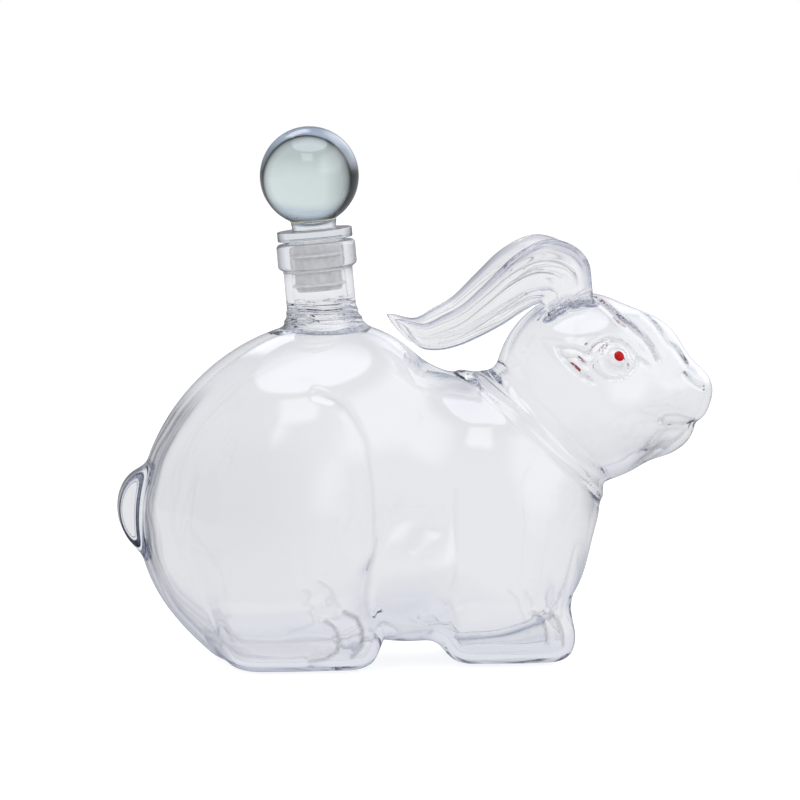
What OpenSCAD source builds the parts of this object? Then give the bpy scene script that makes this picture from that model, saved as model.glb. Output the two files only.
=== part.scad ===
// Blown glass rabbit decanter with a ball stopper.
// The rabbit looks along +X, +Z is up and the table is at z = 0. All lengths are in millimetres.

/* [Body] */
// Length of the body, from the rump to the breast
body_length = 185; // [160:1:205]
// Width of the body across the haunches
body_width = 112; // [100:1:124]
// Height of the back above the table
body_height = 140; // [128:1:152]
// Thickness of the blown wall
wall = 3; // [2:0.1:3.5]
// Size of the soft valley where one rounded form melts into the next
melt = 12; // [8:0.5:16]

/* [Feet] */
// Radius of the long hind feet
hind_foot_radius = 14; // [12:0.5:16]
// Radius of the forefeet
fore_foot_radius = 11; // [9:0.5:13]

/* [Head] */
// Length of the head, a little more than from the nape to the nose
head_length = 100; // [92:1:108]
// Width that the cheeks and the skull are shared from
head_width = 72; // [66:1:78]
// Height that the skull and the jaw are shared from
head_height = 80; // [74:1:86]
// Place of the middle of the head along the body
head_x = 71.7; // [68:0.1:75]
// Drop from the top of the back to the middle of the head
head_drop = 32; // [28:0.5:36]

/* [Seam between head and body] */
// Place of the middle of the seam along the body
seam_x = 48.7; // [46:0.1:51]
// Drop from the top of the back to the middle of the seam
seam_drop = 49; // [46:0.5:51]
// Angle of the seam's normal above the horizontal
seam_rise = 47.5; // [44:0.5:50]
// Width of the fused bead that joins the two blown parts
bead_width = 2.5; // [1.5:0.1:4]
// Height of the bead above the glass beside it
bead_height = 0.7; // [0.3:0.1:1.2]

/* [Neck] */
// Place of the neck's foot along the body
neck_x = -38.3; // [-46:0.1:-32]
// Angle that the neck leans back towards the tail
neck_lean = 5; // [0:0.5:8]
// Diameter of the bore through the neck
bore_d = 22; // [18:0.5:24]
// Outer diameter of the neck tube
tube_d = 28; // [26:0.5:31]
// Length of the plain neck tube
tube_length = 14.5; // [10:0.5:20]
// Outer diameter of the collar round the mouth
collar_d = 32; // [31:0.5:36]
// Height of the collar
collar_height = 10.5; // [8:0.5:13]
// Rounding of the collar's edges
collar_round = 1.6; // [0.5:0.1:2]
// Diameter of the flared foot where the neck is welded to the back
weld_foot_d = 35; // [33:0.5:40]
// Height of the weld above the back
weld_height = 7; // [5:0.5:9]

/* [Ears] */
// Length that an ear reaches back from its root
ear_length = 71; // [64:1:76]
// Width of the ear blade at its widest
ear_width = 35.6; // [30:0.2:38]
// Thickness of the ear blade
ear_thick = 7; // [5:0.5:9]
// Depth of the hollow in the blade's outer side
ear_cup = 4; // [2:0.5:6]
// Distance of the ear roots from the middle of the head
ear_root_y = 14; // [12:0.5:17]
// Further distance that the blades swing out
ear_swing = 6; // [2:0.5:9]

/* [Tail] */
// Height of the tail
tail_height = 35; // [30:1:40]
// Width of the tail
tail_width = 24; // [18:1:30]
// Distance that the tail stands out from the rump
tail_depth = 8; // [6:0.5:12]
// Height of the tail's middle above the table
tail_z = 62; // [56:1:70]

/* [Eyes] */
// Diameter of the clear eye bead
eye_d = 10; // [8:0.5:12]
// Height of the bead above the cheek
eye_rise = 2.4; // [1.5:0.1:3.5]
// Diameter of the red pupil
pupil_d = 4.2; // [3:0.2:5]
// Depth of the red pupil
pupil_depth = 1; // [0.6:0.1:1.4]

/* [Stopper] */
// Diameter of the tinted ball
ball_d = 40; // [34:0.5:44]
// Height of the ball's lowest point above the disc
ball_lift = 1.4; // [1:0.1:3]
// Diameter of the clear collar that carries the ball
ball_collar_d = 18.6; // [14:0.2:22]
// Thickness of the glue film under the ball
glue_thick = 0.25; // [0.15:0.05:0.4]
// Diameter of the flat disc above the mouth
disc_d = 30.4; // [27:0.2:36]
// Thickness of the disc
disc_thick = 4; // [3:0.25:6]
// Gap between the mouth and the disc
disc_gap = 1; // [0.6:0.1:2]
// Diameter of the glass stem inside the sleeve
stem_d = 16; // [12:0.5:17]
// Length of the soft sleeve
sleeve_length = 20.7; // [16:0.1:26]
// Diameter of the sleeve between its ribs
sleeve_d = 20; // [18.5:0.1:20.5]
// Number of ribs round the sleeve
rib_count = 3; // [2:1:4]
// Height of each rib
rib_height = 1.6; // [1:0.1:2.2]

/* [Fits] */
// Gap between a rib and the bore, on the radius
rib_gap = 0.07; // [0.03:0.01:0.1]
// Gap between the stem and the sleeve, on the radius
stem_gap = 0.05; // [0.03:0.01:0.08]

/* [Hidden] */

clear_glass = "azure";
warm_glass = "lightblue";
tinted_glass = "cadetblue";
red_glass = "red";
glue_colour = "khaki";
silicone = "gainsboro";

round_facets = 96;

// Rounded forms of the body: place and radii as shares of the body's length, width and height,
// the angle that the form tips forwards, and its valley as a share of melt
body_size = [body_length, body_width, body_height];
body_form_shares = [
    // rump
    [[-0.270, 0, 0.530], [0.307, 0.46, 0.507], 43, 1],
    // seat, low at the back
    [[-0.337, 0, 0.316], [0.219, 0.42, 0.385], -18, 1],
    // belly
    [[-0.022, 0, 0.280], [0.250, 0.40, 0.225], 0, 1],
    // brisket, between the forelegs
    [[0.155, 0, 0.254], [0.191, 0.30, 0.175], 0, 1],
    // breast
    [[0.153, 0, 0.476], [0.250, 0.36, 0.366], 0, 1.2],
    // withers
    [[-0.016, 0, 0.576], [0.193, 0.30, 0.246], 36, 1],
    // throat
    [[0.258, 0, 0.560], [0.130, 0.24, 0.200], 0, 1],
    // haunch, one on each side
    [[-0.297, 0.26, 0.400], [0.215, 0.24, 0.360], 0, 0.25],
    // shoulder, one on each side
    [[0.208, 0.20, 0.300], [0.120, 0.17, 0.260], 0, 0.8]
];

// Heel and toe of each foot as shares of the body, and the valley above it as a share of melt
hind_heel_share = [-0.362, 0.27, 0.085];
hind_toe_share = [-0.177, 0.28, 0.085];
fore_heel_share = [0.108, 0.20, 0.070];
fore_toe_share = [0.273, 0.20, 0.070];
foot_melt_share = 0.5;

// Rounded forms of the head, written as those of the body, from the middle of the head
head_size = [head_length, head_width, head_height];
head_at = [head_x, 0, body_height - head_drop];
head_form_shares = [
    // skull
    [[-0.043, 0, 0.024], [0.356, 0.44, 0.490], 0, 1],
    // muzzle
    [[0.254, 0, 0.016], [0.237, 0.28, 0.193], 0, 1],
    // bridge of the nose
    [[0.191, 0, 0.167], [0.172, 0.20, 0.226], 37, 0.8],
    // tip of the nose
    [[0.42, 0, 0.00], [0.06, 0.09, 0.07], 0, 0.5],
    // upper lip
    [[0.356, 0, -0.086], [0.11, 0.15, 0.09], 0, 0.5],
    // chin
    [[0.300, 0, -0.208], [0.120, 0.14, 0.103], -15, 0.4],
    // jaw
    [[0.083, 0, -0.124], [0.243, 0.30, 0.230], 0, 1],
    // cheek, one on each side
    [[0.02, 0.25, -0.08], [0.20, 0.22, 0.26], 0, 0.8]
];
nape_melt_share = 0.4;

// Distance from p to an ellipsoid, true near its surface and negative inside
function tipped(d, pitch) = [
    d.x * cos(pitch) - d.z * sin(pitch),
    d.y,
    d.x * sin(pitch) + d.z * cos(pitch)
];
function over(d, r) = [d.x / r.x, d.y / r.y, d.z / r.z];
function scaled(share, size) = [share.x * size.x, share.y * size.y, share.z * size.z];
function oval_distance(p, at, r, pitch) =
    let (q = over(pitch == 0 ? p - at : tipped(p - at, pitch), r))
    let (near = norm(q))
    near * (near - 1) / max(norm(over(q, r)), 1e-9);

// Distance from p to a rod with round ends
function rod_distance(p, a, b, r) =
    let (v = b - a)
    let (t = min(max((p - a) * v / (v * v), 0), 1))
    norm(p - a - t * v) - r;

// The nearer of two distances, with a soft valley of size k between the two forms
function joined(a, b, k) =
    let (h = max(k - abs(a - b), 0) / k)
    min(a, b) - h * h * k / 4;

function forms_distance(forms, p, size, at, i = 0, d = undef) =
    i == len(forms) ? d :
    let (f = forms[i])
    let (e = oval_distance(p, at + scaled(f[0], size), scaled(f[1], size), f[2]))
    forms_distance(forms, p, size, at, i + 1, i == 0 ? e : joined(d, e, melt * f[3]));

function foot_distance(p, heel_share, toe_share, r) =
    rod_distance(p, scaled(heel_share, body_size), scaled(toe_share, body_size), r);

function body_distance(p) =
    let (trunk = forms_distance(body_form_shares, p, body_size, [0, 0, 0]))
    let (hind = foot_distance(p, hind_heel_share, hind_toe_share, hind_foot_radius))
    let (fore = foot_distance(p, fore_heel_share, fore_toe_share, fore_foot_radius))
    joined(joined(trunk, hind, melt * foot_melt_share), fore, melt * foot_melt_share);

function head_distance(p) = forms_distance(head_form_shares, p, head_size, head_at);

// Distance from any point to the whole rabbit, which is the same on its left and right
function rabbit_distance(p) =
    let (q = [p.x, abs(p.y), p.z])
    joined(body_distance(q), head_distance(q), melt * nape_melt_share);

// The rabbit without a layer of the given depth, cut flat where it stands
function layer_distance(p, depth) = max(rabbit_distance(p) + depth, depth - p.z);

// How far the layer's surface lies from the point c along the unit direction u, found by steps
// that follow the layer's own slope and so stop at the first surface
search_steps = 10;
least_slope = 0.4;
first_step = 0.9;
function reach(c, u, depth) =
    let (d = layer_distance(c, depth))
    closer(c, u, depth, 0, d, -first_step * d, search_steps);
function closer(c, u, depth, t0, d0, t1, steps) =
    steps == 0 ? t1 :
    let (d1 = layer_distance(c + u * t1, depth))
    t1 == t0 || d1 == 0 ? t1 :
    closer(c, u, depth, t1, d1, t1 - d1 / max((d1 - d0) / (t1 - t0), least_slope), steps - 1);

// The point found, laid exactly on the flat underside if it is next to it
slope_step = wall / 20;
function surface_point(c, u, depth) =
    let (t = reach(c, u, depth))
    u.z < 0 && abs((depth - c.z) / u.z - t) < slope_step ? c + u * ((depth - c.z) / u.z) : c + u * t;

// Outward direction of the surface at p
function outward(p) =
    let (g = [for (axis = [[slope_step, 0, 0], [0, slope_step, 0], [0, 0, slope_step]])
        rabbit_distance(p + axis) - rabbit_distance(p - axis)])
    g / norm(g);

// The seam plane, with its normal towards the head and one axis up the nape
seam_at = [seam_x, 0, body_height - seam_drop];
seam_normal = [cos(seam_rise), 0, sin(seam_rise)];
seam_up = [-sin(seam_rise), 0, cos(seam_rise)];
function seam_side(turn) = seam_up * cos(turn) + [0, sin(turn), 0];

// Middle points inside the body and the head, from which the rays to their walls go out
body_depth_share = 0.27;
head_depth_share = 0.33;
body_core = seam_at - seam_normal * body_length * body_depth_share;
head_core = seam_at + seam_normal * head_length * head_depth_share;

body_turns = 56;
body_rings = 34;
head_rings = 22;

function mirrored_ring(half) = [
    for (p = half) p,
    for (i = [len(half) - 2:-1:1]) [half[i].x, -half[i].y, half[i].z]
];

// Points where the seam plane, moved along its normal, cuts the layer at the given depth
function seam_ring(shift, depth) =
    mirrored_ring([for (i = [0:body_turns / 2])
        surface_point(seam_at + seam_normal * shift, seam_side(360 * i / body_turns), depth)]);

// Rings of points over one side of the layer, from the pole that faces away from the seam
function dome_rings(core, pole, rings, shift, depth) =
    let (rim = seam_ring(shift, depth))
    [for (ring = [1:rings])
        ring == rings ? rim :
        mirrored_ring([for (i = [0:body_turns / 2])
            let (side = seam_side(360 * i / body_turns))
            let (edge = rim[i] - core)
            let (full = atan2(edge * side, edge * pole))
            let (angle = full * ring / rings)
            surface_point(core, pole * cos(angle) + side * sin(angle), depth)])];

function flat_list(rows) = [for (row = rows) for (p = row) p];

// Faces between neighbouring rings of n points, the first point of the first ring at index start
function band_faces(start, n, rings, flip) = [
    for (ring = [0:rings - 2])
        for (i = [0:n - 1])
            let (a = start + ring * n + i)
            let (b = start + ring * n + (i + 1) % n)
            each flip ? [[a, a + n, b], [b, a + n, b + n]] : [[a, b, a + n], [b, b + n, a + n]]
];
function fan_faces(tip, start, n, flip) = [
    for (i = [0:n - 1])
        flip ? [tip, start + i, start + (i + 1) % n] : [tip, start + (i + 1) % n, start + i]
];

// A cup of glass: an outer and an inner dome that end together at the seam
module blown_cup(core, pole, rings, shift, flip) {
    n = body_turns;
    outer = dome_rings(core, pole, rings, shift, 0);
    inner = dome_rings(core, pole, rings, shift, wall);
    points = concat(
        [surface_point(core, pole, 0)], flat_list(outer),
        [surface_point(core, pole, wall)], flat_list(inner));
    second = 1 + rings * n;
    rim_out = second - n;
    rim_in = second + 1 + (rings - 1) * n;
    faces = concat(
        fan_faces(0, 1, n, flip),
        band_faces(1, n, rings, flip),
        fan_faces(second, second + 1, n, !flip),
        band_faces(second + 1, n, rings, !flip),
        [for (i = [0:n - 1])
            let (j = (i + 1) % n)
            each flip
                ? [[rim_out + i, rim_in + i, rim_out + j], [rim_out + j, rim_in + i, rim_in + j]]
                : [[rim_out + i, rim_out + j, rim_in + i], [rim_out + j, rim_in + j, rim_in + i]]]);
    polyhedron(points, faces);
}

// The neck's own frame: its z axis runs up the bore from the top of the back
bore_r = bore_d / 2;
neck_axis = [-sin(neck_lean), 0, cos(neck_lean)];
neck_core = [neck_x, 0, body_height] - neck_axis * body_height / 2;
function neck_foot() = surface_point(neck_core, neck_axis, 0);
module on_neck() {
    translate(neck_foot()) rotate([0, -neck_lean, 0]) children();
}

// How far the back has dropped below the neck's foot at radius r, on the given side
function back_height(r, turn) =
    let (side = [cos(turn) * cos(neck_lean), sin(turn), cos(turn) * sin(neck_lean)])
    reach(neck_core + side * r, neck_axis, 0) - reach(neck_core, neck_axis, 0);
function lowest_back(r) = min([for (turn = [0:30:180]) back_height(r, turn)]);

cut_over = wall;
module neck_bore() {
    on_neck() translate([0, 0, -weld_height * 2])
        cylinder(h = weld_height * 2 + cut_over, d = bore_d, $fn = round_facets);
}

module body_shell() {
    color(clear_glass) difference() {
        blown_cup(body_core, -seam_normal, body_rings, -bead_width / 2, true);
        neck_bore();
    }
}

module head_shell() {
    color(clear_glass) blown_cup(head_core, seam_normal, head_rings, bead_width / 2, false);
}

// Bead of fused glass along the seam, flush with the two shells and raised in its middle
module head_weld() {
    n = body_turns;
    function raised(ring, shift) = [for (p = ring) p + (p - seam_at - seam_normal * shift)
        * bead_height / norm(p - seam_at)];
    half = bead_width / 2;
    rings = [
        seam_ring(-half, 0),
        raised(seam_ring(-half / 2, 0), -half / 2),
        raised(seam_ring(half / 2, 0), half / 2),
        seam_ring(half, 0),
        seam_ring(half, wall),
        seam_ring(-half, wall)
    ];
    ring_total = len(rings);
    color(warm_glass) polyhedron(flat_list(rings), [
        for (ring = [0:ring_total - 1])
            for (i = [0:n - 1])
                let (a = ring * n + i)
                let (b = ring * n + (i + 1) % n)
                let (c = (ring + 1) % ring_total * n + i)
                let (d = (ring + 1) % ring_total * n + (i + 1) % n)
                each [[a, b, c], [b, d, c]]
    ]);
}

// A flared ring of glass, its foot sunk into the back, with two folds left by the welding
weld_sink = wall / 2;
fold_share = 0.06;
fold_turns = 2.5;
flare_power = 2.2;
module neck_weld() {
    foot_r = weld_foot_d / 2;
    top_r = tube_d / 2;
    foot_low = lowest_back(foot_r) - weld_sink / 2;
    bore_low = lowest_back(bore_r) - weld_sink;
    steps = 24;
    flare = [for (i = [0:steps])
        let (t = i / steps)
        let (fold = sin(t * 360 * fold_turns) * fold_share * (foot_r - top_r) * (1 - t))
        [top_r + (foot_r - top_r) * pow(1 - t, flare_power) + fold, foot_low + (weld_height - foot_low) * t]];
    color(warm_glass) on_neck() rotate_extrude($fn = round_facets)
        polygon(concat([[bore_r, weld_height], [bore_r, bore_low]], flare));
}

module neck_tube() {
    color(clear_glass) on_neck() translate([0, 0, weld_height]) difference() {
        cylinder(h = tube_length, d = tube_d, $fn = round_facets);
        translate([0, 0, -cut_over])
            cylinder(h = tube_length + 2 * cut_over, d = bore_d, $fn = round_facets);
    }
}

// A quarter circle of the given radius, in the order of its angles
function corner(x, z, r, from) = [for (a = [from:15:from + 90]) [x + r * cos(a), z + r * sin(a)]];

collar_base = weld_height + tube_length;
mouth_height = collar_base + collar_height;
module mouth_collar() {
    outer_r = collar_d / 2;
    lip_r = collar_round / 2;
    color(clear_glass) on_neck() rotate_extrude($fn = round_facets)
        polygon(concat(
            [[bore_r, collar_base]],
            corner(outer_r - collar_round, collar_base + collar_round, collar_round, -90),
            corner(outer_r - collar_round, mouth_height - collar_round, collar_round, 0),
            corner(bore_r + lip_r, mouth_height - lip_r, lip_r, 90)));
}

// Sections along an ear, from its root to its tip: distance back, up and the swing out as shares,
// the blade's width as a share, and the angle of the blade's section above the horizontal
ear_root_share = [-0.11, 0, 0.49];
ear_section_shares = [
    [0.000, 0.000, 0.0, 0.61, 34],
    [0.034, 0.100, 0.1, 0.73, 42],
    [0.115, 0.139, 0.3, 0.85, 57],
    [0.230, 0.132, 0.6, 0.90, 70],
    [0.365, 0.061, 0.9, 0.81, 79],
    [0.500, -0.040, 1.0, 0.64, 82],
    [0.624, -0.128, 0.9, 0.49, 83],
    [0.740, -0.175, 0.7, 0.41, 82],
    [0.850, -0.195, 0.4, 0.28, 80],
    [0.952, -0.140, 0.2, 0.14, 85]
];
ear_steps = 3;
ear_turns = 16;
ear_sink = wall / 2;
ear_tip_share = [-0.10, 0, 0.12];

// A smooth curve through rows of numbers
function curve_at(rows, i, t) =
    let (last = len(rows) - 1)
    let (a = rows[max(i - 1, 0)])
    let (b = rows[i])
    let (c = rows[min(i + 1, last)])
    let (d = rows[min(i + 2, last)])
    (2 * b + (c - a) * t + (2 * a - 5 * b + 4 * c - d) * t * t + (3 * b - a - 3 * c + d) * t * t * t) / 2;
function ear_rows() = [
    for (i = [0:len(ear_section_shares) - 2])
        for (k = [0:ear_steps - 1]) curve_at(ear_section_shares, i, k / ear_steps),
    ear_section_shares[len(ear_section_shares) - 1]
];

// One section of the blade: thick along its upper rim and hollow on its outer side
rim_share = 0.35;
function ear_section(row) =
    let (root = head_at + scaled(ear_root_share, head_size))
    let (middle = [root.x - row[0] * ear_length, ear_root_y + row[2] * ear_swing, root.z + row[1] * ear_length])
    let (along = [cos(row[4]), 0, sin(row[4])])
    [for (i = [0:ear_turns - 1])
        let (turn = 360 * i / ear_turns)
        let (s = cos(turn))
        let (half_thick = ear_thick / 2 * sqrt(row[3]) * sin(turn) * (1 + rim_share * s))
        let (hollow = ear_cup * row[3] * (s * s - 0.5))
        middle + along * s * row[3] * ear_width / 2 + [0, half_thick + hollow, 0]];

// The same section laid on the head, a little below its surface
function seated(points, sink) = [for (p = points)
    let (u = (p - head_core) / norm(p - head_core))
    surface_point(head_core, u, 0) - u * sink];

module ear(side) {
    n = ear_turns;
    rows = ear_rows();
    sections = [for (row = rows) ear_section(row)];
    root = seated(sections[0], ear_sink);
    middle = seated([head_at + scaled(ear_root_share, head_size) + [0, ear_root_y, 0]], ear_sink)[0];
    tip_ring = sections[len(sections) - 1];
    tip_middle = (tip_ring[0] + tip_ring[n / 2]) / 2;
    tip = tip_middle + ear_tip_share * ear_width;
    points = [for (p = concat([middle], root, flat_list(sections), [tip])) [p.x, p.y * side, p.z]];
    rings = len(sections) + 1;
    last = 1 + (rings - 1) * n;
    flip = side < 0;
    polyhedron(points, concat(
        fan_faces(0, 1, n, !flip),
        band_faces(1, n, rings, !flip),
        fan_faces(last + n, last, n, flip)));
}
module left_ear() {
    color(warm_glass) ear(1);
}
module right_ear() {
    color(warm_glass) ear(-1);
}

// A rounded tab of glass drawn out of the rump
tail_turns = 24;
tail_rings = 7;
tail_sink = wall / 2;
tail_core_share = 0.25;
tail_aim_share = 0.33;
tail_rise_share = 0.25;
module tail() {
    n = tail_turns;
    core = [body_core.x - body_length * tail_core_share, 0, tail_z];
    function spot(angle, turn, out) =
        let (aim = [-body_length * tail_aim_share, cos(turn) * sin(angle) * tail_width / 2,
            sin(turn) * sin(angle) * tail_height / 2])
        surface_point(core, aim / norm(aim), 0) + [-out, 0, out * tail_rise_share];
    function ring_at(angle, out) = [for (i = [0:n - 1]) spot(angle, 360 * i / n, out)];
    dome = [for (ring = [0:tail_rings - 1])
        let (angle = 90 - 90 * ring / tail_rings)
        ring_at(angle, tail_depth * cos(angle))];
    points = concat(
        [spot(0, 0, -tail_sink)], ring_at(90, -tail_sink), flat_list(dome), [spot(0, 0, tail_depth)]);
    last = 1 + tail_rings * n;
    color(warm_glass) polyhedron(points, concat(
        fan_faces(0, 1, n, false),
        band_faces(1, n, tail_rings + 1, false),
        fan_faces(last + n, last, n, true)));
}

// The eye beads sit on the cheeks, square to the glass under them
eye_place_share = [0.06, 0.38, 0.20];
eye_sink = wall / 3;
function eye_ray() = let (v = head_at + scaled(eye_place_share, head_size) - head_core) v / norm(v);
module on_eye(side) {
    at = surface_point(head_core, eye_ray(), 0);
    u = outward(at);
    mirror([0, side > 0 ? 0 : 1, 0])
        translate(at) rotate([0, acos(u.z), atan2(u.y, u.x)]) children();
}
module eye_lens(side) {
    // Radius of the sphere that the bead is a cap of
    cap = eye_rise + eye_sink;
    dome_r = (cap * cap + eye_d * eye_d / 4) / (2 * cap);
    on_eye(side) difference() {
        intersection() {
            translate([0, 0, eye_rise - dome_r]) sphere(r = dome_r, $fn = round_facets);
            translate([0, 0, -eye_sink]) cylinder(h = cap + cut_over, d = eye_d + cut_over, $fn = round_facets);
        }
        translate([0, 0, eye_rise - pupil_depth])
            cylinder(h = pupil_depth + cut_over, d = pupil_d, $fn = round_facets);
    }
}
pupil_fill_share = 0.9;
module pupil(side) {
    on_eye(side) translate([0, 0, eye_rise - pupil_depth])
        cylinder(h = pupil_depth * pupil_fill_share, d = pupil_d, $fn = round_facets);
}
module left_eye_lens() {
    color(warm_glass) eye_lens(1);
}
module right_eye_lens() {
    color(warm_glass) eye_lens(-1);
}
module left_pupil() {
    color(red_glass) pupil(1);
}
module right_pupil() {
    color(red_glass) pupil(-1);
}

// Heights of the stopper's pieces up the neck
disc_base = mouth_height + disc_gap;
disc_top = disc_base + disc_thick;
ball_r = ball_d / 2;
ball_z = disc_top + ball_lift + glue_thick + ball_r;

module stopper_ball() {
    color(tinted_glass) on_neck() translate([0, 0, ball_z])
        sphere(r = ball_r, $fn = round_facets);
}

module ball_glue() {
    color(glue_colour) on_neck() intersection() {
        difference() {
            translate([0, 0, ball_z]) sphere(r = ball_r + glue_thick, $fn = round_facets);
            translate([0, 0, ball_z]) sphere(r = ball_r, $fn = round_facets);
        }
        translate([0, 0, disc_top])
            cylinder(h = ball_r / 2, d = ball_collar_d, $fn = round_facets);
    }
}

module ball_collar() {
    seat = ball_r + glue_thick;
    rim = ball_z - sqrt(seat * seat - ball_collar_d * ball_collar_d / 4);
    color(clear_glass) on_neck() difference() {
        translate([0, 0, disc_top])
            cylinder(h = rim - disc_top, d = ball_collar_d, $fn = round_facets);
        translate([0, 0, ball_z]) sphere(r = seat, $fn = round_facets);
    }
}

// The clear disc over the mouth with its stem, which ends inside the sleeve
stem_share = 0.9;
stem_end = disc_base - sleeve_length * stem_share;
module stopper_plug() {
    edge = disc_thick / 8;
    disc_r = disc_d / 2;
    stem_r = stem_d / 2;
    color(clear_glass) on_neck() rotate_extrude($fn = round_facets)
        polygon([
            [0, stem_end], [stem_r - edge, stem_end], [stem_r, stem_end + edge], [stem_r, disc_base],
            [disc_r - edge, disc_base], [disc_r, disc_base + edge], [disc_r, disc_top - edge],
            [disc_r - edge, disc_top], [0, disc_top]
        ]);
}

// Soft sleeve whose ribs fill the bore
rib_top_share = 0.30;
rib_low_share = 0.88;
module stopper_sleeve() {
    inner_r = stem_d / 2 + stem_gap;
    core_r = sleeve_d / 2;
    rib_r = bore_r - rib_gap;
    foot_r = core_r - rib_height / 2;
    top = disc_base - stem_gap;
    low = disc_base - sleeve_length;
    ribs = [for (i = [rib_count - 1:-1:0])
        let (share = rib_top_share + (rib_low_share - rib_top_share) * i / (rib_count - 1))
        let (z = disc_base - sleeve_length * share)
        each [[core_r, z - rib_height / 2], [rib_r, z - rib_height / 4],
            [rib_r, z + rib_height / 4], [core_r, z + rib_height / 2]]];
    color(silicone) on_neck() rotate_extrude($fn = round_facets)
        polygon(concat([[inner_r, top], [inner_r, low], [foot_r, low]], ribs, [[core_r, top]]));
}

body_shell();
head_shell();
head_weld();
neck_weld();
neck_tube();
mouth_collar();
left_ear();
right_ear();
tail();
left_eye_lens();
right_eye_lens();
left_pupil();
right_pupil();
stopper_ball();
ball_glue();
ball_collar();
stopper_plug();
stopper_sleeve();
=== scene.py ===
import math

import bpy
import numpy as np
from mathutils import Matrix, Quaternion, Vector


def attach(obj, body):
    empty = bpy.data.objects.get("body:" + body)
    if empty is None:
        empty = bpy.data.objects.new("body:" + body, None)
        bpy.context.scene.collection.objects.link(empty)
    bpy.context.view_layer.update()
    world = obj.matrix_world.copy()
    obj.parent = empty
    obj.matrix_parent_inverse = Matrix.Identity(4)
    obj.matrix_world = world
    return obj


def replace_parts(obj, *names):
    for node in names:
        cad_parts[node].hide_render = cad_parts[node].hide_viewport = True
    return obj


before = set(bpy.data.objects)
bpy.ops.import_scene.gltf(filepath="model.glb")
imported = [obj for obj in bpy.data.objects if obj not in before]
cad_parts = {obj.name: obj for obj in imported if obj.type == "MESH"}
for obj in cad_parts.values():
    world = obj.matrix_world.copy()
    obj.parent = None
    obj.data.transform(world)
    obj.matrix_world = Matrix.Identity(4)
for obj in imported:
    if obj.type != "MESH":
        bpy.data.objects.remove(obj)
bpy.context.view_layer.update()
MM = 0.001

# ---------------------------------------------------------------- camera

AIM = Vector((-6.8, 0, 106)) * MM
CAMERA_FAR, CAMERA_HIGH = 2.0, 0.281
CAMERA_TURN, CAMERA_ROLL = math.radians(-6.5), math.radians(-0.2)
LENS, SENSOR = 221.6, 36


def make_camera():
    flat = math.sqrt(CAMERA_FAR**2 - (CAMERA_HIGH - AIM.z) ** 2)
    data = bpy.data.cameras.new("photo_camera")
    data.lens, data.sensor_width = LENS, SENSOR
    data.clip_start, data.clip_end = 0.1, 50
    cam = bpy.data.objects.new("photo_camera", data)
    bpy.context.scene.collection.objects.link(cam)
    cam.location = (AIM.x + math.sin(CAMERA_TURN) * flat, -math.cos(CAMERA_TURN) * flat, CAMERA_HIGH)
    cam.rotation_mode = "QUATERNION"
    look = (AIM - cam.location).to_track_quat("-Z", "Y")
    cam.rotation_quaternion = look @ Quaternion((0, 0, 1), CAMERA_ROLL)
    bpy.context.scene.camera = cam


make_camera()

# ---------------------------------------------------------------- the rabbit's form, in millimetres

# Length, width and height of the body and of the head, and the head's middle
BODY = (185.0, 112.0, 140.0)
HEAD = (100.0, 72.0, 80.0)
HEAD_AT = (71.7, 0.0, 108.0)

# How softly forms melt together, the head's share of that, and the thickness of the glass
MELT, HEAD_MELT = 12.0, 0.4
WALL = 3.0

# Each form is an oval: its middle and its radii as shares of the size, its pitch in degrees and its share of MELT
BODY_FORMS = [
    ((-0.270, 0, 0.530), (0.307, 0.46, 0.507), 43, 1),
    ((-0.337, 0, 0.316), (0.219, 0.42, 0.385), -18, 1),
    ((-0.022, 0, 0.280), (0.250, 0.40, 0.225), 0, 1),
    ((0.155, 0, 0.254), (0.191, 0.30, 0.175), 0, 1),
    ((0.153, 0, 0.476), (0.250, 0.36, 0.366), 0, 1.2),
    ((-0.016, 0, 0.576), (0.193, 0.30, 0.246), 36, 1),
    ((0.258, 0, 0.560), (0.130, 0.24, 0.200), 0, 1),
    ((-0.297, 0.26, 0.400), (0.215, 0.24, 0.360), 0, 0.25),
    ((0.208, 0.20, 0.300), (0.120, 0.17, 0.260), 0, 0.8),
]
# Each foot is a rod from heel to toe, with its radius
FEET = [
    ((-0.362, 0.27, 0.085), (-0.177, 0.28, 0.085), 14.0),
    ((0.108, 0.20, 0.070), (0.273, 0.20, 0.070), 11.0),
]
HEAD_FORMS = [
    ((-0.043, 0, 0.024), (0.356, 0.44, 0.490), 0, 1),
    ((0.254, 0, 0.016), (0.237, 0.28, 0.193), 0, 1),
    ((0.191, 0, 0.167), (0.172, 0.20, 0.226), 37, 0.8),
    ((0.42, 0, 0.00), (0.06, 0.09, 0.07), 0, 0.5),
    ((0.356, 0, -0.086), (0.11, 0.15, 0.09), 0, 0.5),
    ((0.300, 0, -0.208), (0.120, 0.14, 0.103), -15, 0.4),
    ((0.083, 0, -0.124), (0.243, 0.30, 0.230), 0, 1),
    ((0.02, 0.25, -0.08), (0.20, 0.22, 0.26), 0, 0.8),
]
# The seam between head and body, and the neck's lean and foot
SEAM_AT = (48.7, 91.0)
SEAM = math.radians(47.5)
LEAN = math.radians(5)
NECK_FOOT = np.array([-38.206, 0.0, 138.929])
NECK_UP = np.array([-math.sin(LEAN), 0.0, math.cos(LEAN)])
NECK_SIDE = np.array([math.cos(LEAN), 0.0, math.sin(LEAN)])


def scaled(share, size):
    """Shares of a size, in millimetres."""
    return tuple(a * b for a, b in zip(share, size))


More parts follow.
